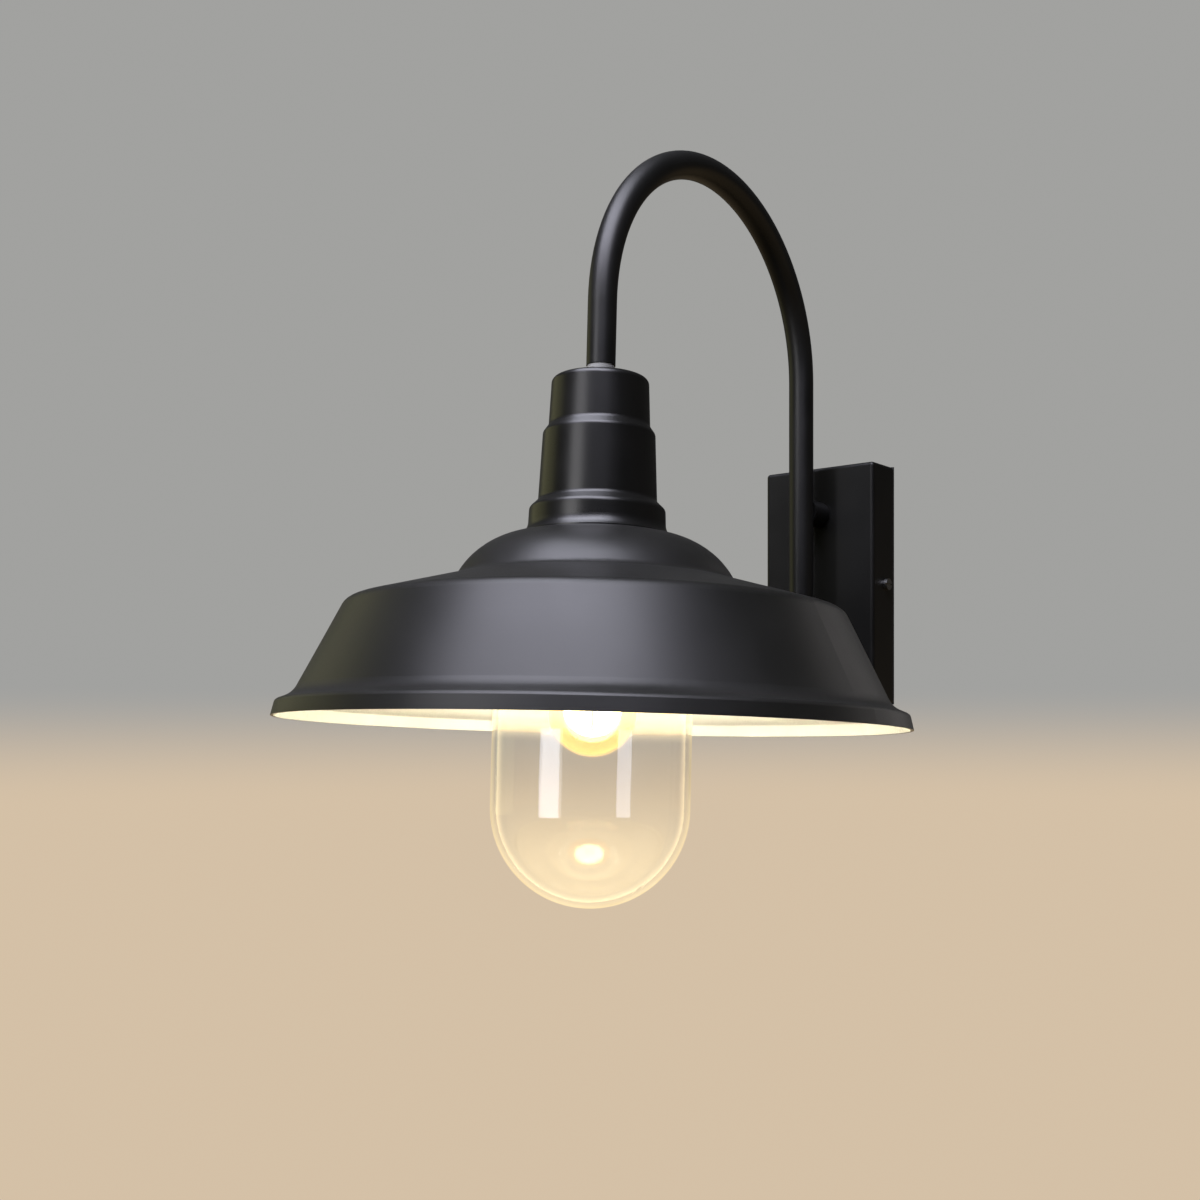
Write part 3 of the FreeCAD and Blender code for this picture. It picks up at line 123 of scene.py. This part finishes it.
class Nodes:
    """A shader node tree being put together from empty."""

    def __init__(self, owner, output):
        owner.use_nodes = True
        self.tree = owner.node_tree
        self.tree.nodes.clear()
        self.output = self.add(output)

    def add(self, kind, inputs=None, **settings):
        """A node of that kind. Each input takes a value or another node's output."""
        node = self.tree.nodes.new("ShaderNode" + kind)
        for name, value in settings.items():
            setattr(node, name, value)
        for name, value in (inputs or {}).items():
            self.feed(node.inputs[name], value)
        return node

    def feed(self, socket, value):
        if isinstance(value, bpy.types.NodeSocket):
            self.tree.links.new(value, socket)
        else:
            socket.default_value = value

    def spread(self, value, low, high, start=0.3, end=0.7):
        """value, taken from start to end, spread over low to high."""
        inputs = {"Value": value, "From Min": start, "From Max": end, "To Min": low, "To Max": high}
        return self.add("MapRange", inputs, interpolation_type="SMOOTHSTEP").outputs["Result"]

    def blend(self, factor, first, second):
        """Mix of two colours, each a colour or an output."""
        inputs = {0: factor, 6: as_colour(first), 7: as_colour(second)}
        return self.add("Mix", inputs, data_type="RGBA").outputs[2]

    def math(self, operation, first, second):
        return self.add("Math", {0: first, 1: second}, operation=operation).outputs[0]

    def show(self, shader):
        self.tree.links.new(shader, self.output.inputs["Surface"])


class Finish(Nodes):
    """A node material being put together."""

    def __init__(self, name):
        self.material = bpy.data.materials.new(name)
        super().__init__(self.material, "OutputMaterial")

    def place(self):
        """Coordinates in the frame's metres, which stay with the piece when it moves."""
        return self.add("TexCoord").outputs["Object"]

    def depth(self):
        """Depth below the end of the bend, along the head's axis."""
        below = self.add("VectorMath", {0: self.place(), 1: BEND_END}, operation="SUBTRACT").outputs[0]
        return self.add("VectorMath", {0: below, 1: DOWN}, operation="DOT_PRODUCT").outputs["Value"]

    def facing(self):
        """0 where the surface faces the eye, 1 at its outline."""
        return self.add("LayerWeight", {"Blend": 0.5}).outputs["Facing"]

    def noise(self, size, detail=2.0, stretch=(1, 1, 1)):
        """Noise from 0 to 1 whose features are about that size in metres."""
        scaled = self.add("Mapping", {"Vector": self.place(), "Scale": stretch}).outputs[0]
        return self.add("TexNoise", {"Vector": scaled, "Scale": 1 / size, "Detail": detail}).outputs["Fac"]

    def cells(self, size):
        """Distance to the middles of scattered cells of that size."""
        return self.add("TexVoronoi", {"Vector": self.place(), "Scale": 1 / size}).outputs["Distance"]

    def bump(self, height, depth, under=None):
        """Surface normal raised by up to depth metres where height is 1."""
        inputs = {"Height": height, "Distance": depth}
        if under is not None:
            inputs["Normal"] = under
        return self.add("Bump", inputs).outputs["Normal"]

    def principled(self, **inputs):
        """Principled shader. Input names are written with underscores for spaces."""
        spaced = {name.replace("_", " "): value for name, value in inputs.items()}
        return self.add("BsdfPrincipled", spaced).outputs[0]

    def done(self, shader):
        """The material, with that shader on its surface."""
        self.show(shader)
        return self.material


def as_colour(value):
    """A plain colour with its alpha; an output as it is."""
    return value if isinstance(value, bpy.types.NodeSocket) else (*value, 1.0)


def times(colour, factor):
    return tuple(channel * factor for channel in colour)


# ----------------------------------------------------------------------------------------- materials


def sprayed(finish, cloud_size):
    """Sprayed paint's clouds from 0 to 1, how its roughness strays, and its peel and grain as a normal."""
    peel = finish.noise(PEEL_SIZE)
    grain = finish.noise(GRAIN_SIZE, detail=1.0)
    clouds = finish.noise(cloud_size, detail=4.0)
    sheen = finish.math("ADD", finish.spread(clouds, -0.03, 0.03), finish.spread(grain, -0.03, 0.03))
    relief = finish.bump(grain, GRAIN_DEPTH, finish.bump(peel, PEEL_DEPTH))
    return finish.spread(clouds, 0, 1), sheen, relief


def powder_coat(name, colour, roughness, gloss):
    """Baked powder paint: satin, with orange peel, fine grain and faint clouds of sheen."""
    finish = Finish(name)
    clouds, sheen, relief = sprayed(finish, 45 * MM)
    shader = finish.principled(
        Base_Color=finish.blend(clouds, times(colour, 0.85), times(colour, 1.2)),
        Roughness=finish.math("ADD", sheen, roughness),
        Specular_IOR_Level=gloss,
        Normal=relief,
    )
    return finish.done(shader)


def shade_enamel(name):
    """Dark powder paint outside and cream enamel inside, split at the lip by which way the sheet faces."""
    finish = Finish(name)
    clouds, sheen, relief = sprayed(finish, 60 * MM)
    heart = head_point(SHADE_HEART)
    outward = finish.add("VectorMath", {0: finish.place(), 1: heart}, operation="SUBTRACT").outputs[0]
    normal = finish.add("NewGeometry").outputs["True Normal"]
    along = finish.add("VectorMath", {0: outward, 1: normal}, operation="DOT_PRODUCT").outputs["Value"]
    inside = finish.math("LESS_THAN", along, 0.0)
    dark = finish.blend(clouds, (0.0036, 0.0035, 0.0028), (0.005, 0.0048, 0.004))
    cream = finish.blend(clouds, (0.86, 0.83, 0.75), (0.9, 0.87, 0.8))
    roughness = finish.add("Mix", {0: inside, 2: 0.4, 3: 0.28}).outputs[0]
    shader = finish.principled(
        Base_Color=finish.blend(inside, dark, cream),
        Roughness=finish.math("ADD", sheen, roughness),
        Specular_IOR_Level=0.4,
        Normal=relief,
    )
    return finish.done(shader)


def carrier_enamel(name):
    """Cream enamel of the glass carrier."""
    finish = Finish(name)
    clouds = finish.spread(finish.noise(20 * MM, detail=3.0), 0, 1)
    shader = finish.principled(
        Base_Color=finish.blend(clouds, (0.84, 0.81, 0.73), (0.89, 0.86, 0.79)),
        Roughness=finish.spread(finish.noise(3 * MM), 0.24, 0.34),
        Normal=finish.bump(finish.noise(1.4 * MM), 0.01 * MM),
    )
    return finish.done(shader)


def plated(name, colour, stain, roughness):
    """Plated or bare metal: fine grain and soft stains. roughness is its lowest and its highest."""
    finish = Finish(name)
    stains = finish.noise(6 * MM, detail=5.0)
    grain = finish.noise(0.3 * MM)
    shader = finish.principled(
        Base_Color=finish.blend(finish.spread(stains, 0, 1), colour, stain),
        Metallic=1.0,
        Roughness=finish.math("ADD", finish.spread(stains, -0.06, 0.06), finish.spread(grain, *roughness)),
        Normal=finish.bump(grain, 0.004 * MM),
    )
    return finish.done(shader)


def moulded(name, colour, roughness, size=1.0 * MM, depth=0.006 * MM, coat=0.0):
    """Moulded plastic, rubber or ceramic, with uneven skin of that size and depth and a clear coat."""
    finish = Finish(name)
    clouds = finish.noise(12 * MM, detail=3.0)
    shader = finish.principled(
        Base_Color=finish.blend(finish.spread(clouds, 0, 1), times(colour, 0.9), times(colour, 1.08)),
        Roughness=finish.spread(clouds, roughness - 0.05, roughness + 0.05),
        Coat_Weight=coat,
        Normal=finish.bump(finish.noise(size), depth),
    )
    return finish.done(shader)


def foam(name):
    """Closed-cell foam with open skin."""
    finish = Finish(name)
    pores = finish.spread(finish.cells(0.9 * MM), 0, 1, 0.1, 0.6)
    shader = finish.principled(
        # Base colour is darker in the pores: painted shade in the recesses.
        Base_Color=finish.blend(pores, (0.006, 0.006, 0.006), (0.024, 0.024, 0.024)),
        Roughness=0.9,
        Normal=finish.bump(pores, 0.12 * MM),
    )
    return finish.done(shader)


def see_through(finish, glass):
    """The glass's material, which shadow rays and bounced light pass straight through."""
    path = finish.add("LightPath").outputs
    passing = finish.math("MAXIMUM", path["Is Shadow Ray"], path["Is Diffuse Ray"])
    clear = finish.add("BsdfTransparent", {"Color": (0.93, 0.93, 0.92, 1.0)}).outputs[0]
    return finish.done(finish.add("MixShader", {0: passing, 1: glass, 2: clear}).outputs[0])


def clear_glass(name):
    """Pressed soda glass: the slow ripple of its mould, and a painted glow of warm lamplight, as emission,
    at its top, bottom and edges.
    """
    finish = Finish(name)
    ripple = finish.noise(22 * MM, detail=1.0, stretch=(1, 1, 0.45))
    depth = finish.depth()
    # Painted light: warm emission at the top, at the bottom and at the outline stands in for lamplight in
    # the glass.
    top = finish.spread(depth, GLASS_TOP_PAINTED_GLOW, 0.0, *GLASS_TOP_FADE)
    low = finish.spread(depth, 0.0, GLASS_LOW_PAINTED_GLOW, *GLASS_LOW_FADE)
    edge = finish.spread(finish.facing(), 0.0, GLASS_EDGE_PAINTED_GLOW, 0.62, 1.0)
    glass = finish.principled(
        Base_Color=(0.98, 0.975, 0.96, 1.0),
        Roughness=finish.spread(finish.noise(8 * MM), 0.03, 0.06),
        IOR=1.5,
        Specular_IOR_Level=1.0,
        Transmission_Weight=1.0,
        # Painted glow: emission on the glass, which is no lamp.
        Emission_Color=(1.0, 0.8, 0.44, 1.0),
        Emission_Strength=finish.math("ADD", finish.math("ADD", low, top), edge),
        Normal=finish.bump(ripple, 0.12 * MM),
    )
    return see_through(finish, glass)


def bulb_glass(name):
    """Lightly frosted globe, whose haze glows with the filaments inside."""
    finish = Finish(name)
    haze = finish.noise(5 * MM)
    edge = finish.facing()
    glass = finish.principled(
        Base_Color=finish.blend(edge, (1.0, 0.9, 0.66), (1.0, 0.72, 0.36)),
        Roughness=finish.spread(haze, 0.05, 0.1),
        IOR=1.45,
        Transmission_Weight=1.0,
        Emission_Color=(1.0, 0.7, 0.3, 1.0),
        Emission_Strength=finish.spread(edge, 0.1, 0.35, 0.1, 0.9),
        Normal=finish.bump(haze, 0.03 * MM),
    )
    return see_through(finish, glass)


def stem_glass(name):
    """Clear lead glass of the bulb's stem, with fine seeds."""
    finish = Finish(name)
    glass = finish.principled(
        Base_Color=(0.95, 0.97, 0.96, 1.0),
        Roughness=finish.spread(finish.noise(2 * MM), 0.02, 0.1),
        IOR=1.55,
        Transmission_Weight=1.0,
        Normal=finish.bump(finish.cells(0.8 * MM), 0.02 * MM),
    )
    return see_through(finish, glass)


def filament_phosphor(name):
    """Yellow phosphor sticks, lit."""
    finish = Finish(name)
    grain = finish.noise(0.4 * MM)
    shader = finish.principled(
        Base_Color=finish.blend(finish.spread(grain, 0, 1), (0.85, 0.6, 0.12), (0.95, 0.75, 0.25)),
        Roughness=0.5,
        Emission_Color=(1.0, 0.9, 0.7, 1.0),
        Emission_Strength=10.0,
        Normal=finish.bump(grain, 0.02 * MM),
    )
    return finish.done(shader)


def earth_insulation(name):
    """Green sleeve with a yellow stripe wound round it."""
    finish = Finish(name)
    wave = finish.add("TexWave", {"Vector": finish.place(), "Scale": 45.0, "Distortion": 0.6})
    stripe = finish.spread(wave.outputs["Fac"], 0, 1, 0.45, 0.55)
    shader = finish.principled(
        Base_Color=finish.blend(stripe, (0.02, 0.22, 0.04), (0.7, 0.55, 0.03)),
        Roughness=0.42,
        Normal=finish.bump(finish.noise(0.8 * MM), 0.006 * MM),
    )
    return finish.done(shader)


FINISHES = {
    "powder_coat_box": lambda name: powder_coat(name, (0.003, 0.003, 0.0026), 0.42, 0.32),
    "powder_coat_arm": lambda name: powder_coat(name, (0.003, 0.003, 0.0026), 0.4, 0.45),
    "powder_coat_neck": lambda name: powder_coat(name, (0.0035, 0.0034, 0.003), 0.31, 0.5),
    "shade_enamel": shade_enamel,
    "carrier_enamel": carrier_enamel,
    "clear_glass": clear_glass,
    "bulb_glass": bulb_glass,
    "stem_glass": stem_glass,
    "filament_phosphor": filament_phosphor,
    "black_foam": foam,
    "earth_insulation": earth_insulation,
    "black_rubber": lambda name: moulded(name, (0.015, 0.015, 0.015), 0.6),
    "grey_silicone": lambda name: moulded(name, (0.26, 0.26, 0.25), 0.5, depth=0.01 * MM),
    "white_silicone": lambda name: moulded(name, (0.8, 0.79, 0.75), 0.5),
    "white_polyamide": lambda name: moulded(name, (0.75, 0.74, 0.7), 0.45),
    "porcelain": lambda name: moulded(name, (0.84, 0.82, 0.77), 0.16, 4 * MM, 0.02 * MM, coat=0.6),
    "black_vitrite": lambda name: moulded(name, (0.012, 0.012, 0.016), 0.12, 3 * MM, 0.02 * MM),
    "brown_insulation": lambda name: moulded(name, (0.13, 0.05, 0.02), 0.42),
    "blue_insulation": lambda name: moulded(name, (0.02, 0.09, 0.36), 0.42),
    "zinc_plate": lambda name: plated(name, ZINC, ZINC_STAIN, (0.34, 0.44)),
    "zinc_screw": lambda name: plated(name, ZINC, ZINC_STAIN, (0.26, 0.36)),
    "zinc_thread": lambda name: plated(name, ZINC, ZINC_STAIN, (0.3, 0.4)),
    "zinc_washer": lambda name: plated(name, ZINC, ZINC_STAIN, (0.28, 0.36)),
    "zinc_nut": lambda name: plated(name, ZINC, ZINC_STAIN, (0.26, 0.36)),
    "stainless_screw": lambda name: plated(name, (0.3, 0.3, 0.3), (0.22, 0.22, 0.21), (0.3, 0.4)),
    "terminal_brass": lambda name: plated(name, BRASS, BRASS_STAIN, (0.24, 0.34)),
    "earth_brass": lambda name: plated(name, BRASS, BRASS_STAIN, (0.26, 0.36)),
    "socket_brass": lambda name: plated(name, (0.7, 0.66, 0.56), (0.6, 0.53, 0.4), (0.18, 0.28)),
    "tinned_copper": lambda name: plated(name, (0.72, 0.7, 0.66), (0.6, 0.52, 0.44), (0.28, 0.4)),
    "solder_tip": lambda name: plated(name, (0.6, 0.6, 0.6), (0.48, 0.48, 0.5), (0.22, 0.34)),
    "nickel_cap": lambda name: plated(name, (0.68, 0.65, 0.58), (0.58, 0.55, 0.48), (0.14, 0.24)),
}


def dress_cad_nodes():
    """Each CAD node takes the finish of its own slot."""
    made = {}
    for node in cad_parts.values():
        for place in node.material_slots:
            slot = place.material.name
            if slot in FINISHES and slot not in made:
                made[slot] = FINISHES[slot]("look_" + slot)
            if slot in made:
                place.material = made[slot]


# ------------------------------------------------------------------------------------------- studio


def sweep_outline():
    """Half section of floor and backdrop: flat, a quarter circle, upright, then a ceiling."""
    low = CAD_BOX[0].z - FLOOR_DROP
    points = [(0.0, low), (FLOOR_RADIUS, low)]
    for i in range(1, SWEEP_STEPS + 1):
        turn = math.pi / 2 * i / SWEEP_STEPS
        radius = FLOOR_RADIUS + SWEEP_RADIUS * math.sin(turn)
        points.append((radius, low + SWEEP_RADIUS * (1 - math.cos(turn))))
    points.append((FLOOR_RADIUS + SWEEP_RADIUS, low + BACKDROP_HEIGHT))
    points.append((0.0, low + BACKDROP_HEIGHT))
    return points


def swept_mesh(name, outline, sides):
    """Smooth mesh of that half section turned about the upright axis."""
    vertices = []
    faces = []
    for i in range(sides):
        turn = 2 * math.pi * i / sides
        vertices += [(r * math.cos(turn), r * math.sin(turn), z) for r, z in outline]
    count = len(outline)
    for i in range(sides):
        first, second = i * count, (i + 1) % sides * count
        faces += [(first + j, second + j, second + j + 1, first + j + 1) for j in range(count - 1)]
    mesh = bpy.data.meshes.new(name)
    mesh.from_pydata(vertices, [], faces)
    mesh.validate()
    mesh.polygons.foreach_set("use_smooth", [True] * len(mesh.polygons))
    return mesh


def studio_floor():
    """Pale floor that sweeps up into the backdrop all round, closed above. It lights nothing."""
    mesh = swept_mesh("studio_floor", sweep_outline(), FLOOR_SIDES)
    mesh.materials.append(floor_paint())
    floor = bpy.data.objects.new("studio_floor", mesh)
    bpy.context.scene.collection.objects.link(floor)
    floor.visible_glossy = False
    floor.visible_diffuse = False
    floor.visible_shadow = False


def floor_paint():
    """Pale warm floor and pale grey backdrop, evenly lit."""
    finish = Finish("studio_paint")
    height = finish.add("SeparateXYZ", {0: finish.place()}).outputs["Z"]
    upright = finish.spread(height, 0, 1, *BACKDROP_FADE)
    colour = finish.blend(upright, FLOOR_COLOUR, BACKDROP_COLOUR)
    return finish.done(finish.add("Emission", {"Color": colour, "Strength": 1.0}).outputs[0])


def studio_world():
    """Soft surroundings: a wall behind, darker on the right and warm low down, and a dim cool front."""
    world = bpy.data.worlds.new("studio_world")
    nodes = Nodes(world, "OutputWorld")
    direction = nodes.add("SeparateXYZ", {0: nodes.add("TexCoord").outputs["Generated"]}).outputs
    upper_wall = nodes.blend(nodes.spread(direction["X"], 0, 1, -0.65, -0.2), PALE_WALL, DARK_WALL)
    wall = nodes.blend(nodes.spread(direction["Z"], 0, 1, 0.04, -0.12), upper_wall, WARM_WALL)
    ground = nodes.blend(nodes.spread(direction["Z"], 0, 1, -0.1, -0.45), DARK_GROUND, WARM_GROUND)
    front = nodes.blend(nodes.spread(direction["Z"], 0, 1, 0.15, 0.9), ground, SKY)
    colour = nodes.blend(nodes.spread(direction["Y"], 0, 1, -0.1, 0.35), front, wall)
    nodes.show(nodes.add("Background", {"Color": colour}).outputs[0])
    bpy.context.scene.world = world


def head_point(depth):
    """Point on the head's axis, that far below the end of the bend."""
    return BEND_END + DOWN * depth


def soft_box(name, azimuth, elevation, distance, width, height, radiance, colour):
    """Area light seen from the head at that angle right of the camera and above the horizon, in degrees."""
    turn = CAMERA_AZIMUTH + math.radians(azimuth)
    rise = math.radians(elevation)
    away = Vector((math.sin(turn) * math.cos(rise), -math.cos(turn) * math.cos(rise), math.sin(rise)))
    data = bpy.data.lights.new(name, "AREA")
    data.shape = "RECTANGLE"
    data.size = width
    data.size_y = height
    data.energy = radiance * math.pi * width * height
    data.color = colour
    light = bpy.data.objects.new(name, data)
    light.location = head_point(LIGHTS_AIM) + away * distance
    light.rotation_euler = away.to_track_quat("Z", "Y").to_euler()
    light.visible_camera = False
    light.visible_transmission = False
    bpy.context.scene.collection.objects.link(light)
    return light


def only_on(lights, node):
    """Lights that shine on one CAD node and leave the rest of the lantern alone."""
    receivers = bpy.data.collections.new("lit_" + node)
    receivers.objects.link(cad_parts[node])
    for light in lights:
        light.light_linking.receiver_collection = receivers


def studio_lights():
    """Two soft boxes above, two low ones, and three that only the glass or the shade takes."""
    soft_box("key_softbox", -18, 56, 1.6, 1.95, 0.9, 6.2, (0.86, 0.85, 1.0))
    soft_box("overhead_softbox", -35, 74, 1.3, 1.2, 0.8, 6.0, (0.86, 0.87, 1.0))
    only_on([
        soft_box("window_left", -47, 8, 1.7, 0.72, 1.1, 7.5, (0.78, 0.84, 1.0)),
        soft_box("window_right", 37, 8, 1.7, 0.5, 1.1, 6.5, (0.8, 0.84, 1.0)),
    ], "glass_dome")
    soft_box("strip_left", -44, 10, 1.9, 0.8, 1.4, 3.4, (1.0, 0.99, 1.0))
    soft_box("garden_left", -118, 12, 2.0, 1.6, 1.4, 0.5, (1.0, 0.97, 0.5))
    only_on([soft_box("wall_right", 120, 14, 2.0, 1.4, 1.2, 0.5, (1.0, 0.95, 0.93))], "shade")


def bulb_light():
    """The light of the filaments, from a small ball in the middle of the bulb that moves with it."""
    data = bpy.data.lights.new("bulb_light", "POINT")
    data.energy = BULB_LIGHT_POWER
    data.color = BULB_LIGHT_COLOUR
    data.shadow_soft_size = BULB_LIGHT_RADIUS
    light = bpy.data.objects.new("bulb_light", data)
    low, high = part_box("bulb_filaments")
    light.location = (low + high) / 2
    light.visible_camera = False
    bpy.context.scene.collection.objects.link(light)
    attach(light, "bulb")


def aim_camera():
    """Level camera that looks at the head's axis."""
    aim = head_point(BEND_END.z / math.cos(LEAN))
    away = Vector((math.sin(CAMERA_AZIMUTH), -math.cos(CAMERA_AZIMUTH), 0.0))
    data = bpy.data.cameras.new("camera")
    data.sensor_width = CAMERA_SENSOR
    data.lens = CAMERA_LENS
    data.shift_x, data.shift_y = CAMERA_SHIFT
    data.clip_start, data.clip_end = CAMERA_CLIP
    camera = bpy.data.objects.new("camera", data)
    camera.location = Vector((aim.x, aim.y, 0.0)) + away * CAMERA_DISTANCE
    camera.location.z = CAMERA_HEIGHT
    camera.rotation_euler = away.to_track_quat("Z", "Y").to_euler()
    bpy.context.scene.collection.objects.link(camera)
    bpy.context.scene.camera = camera


dress_cad_nodes()
studio_floor()
studio_world()
studio_lights()
bulb_light()
aim_camera()
bpy.context.scene.view_settings.view_transform = "Standard"
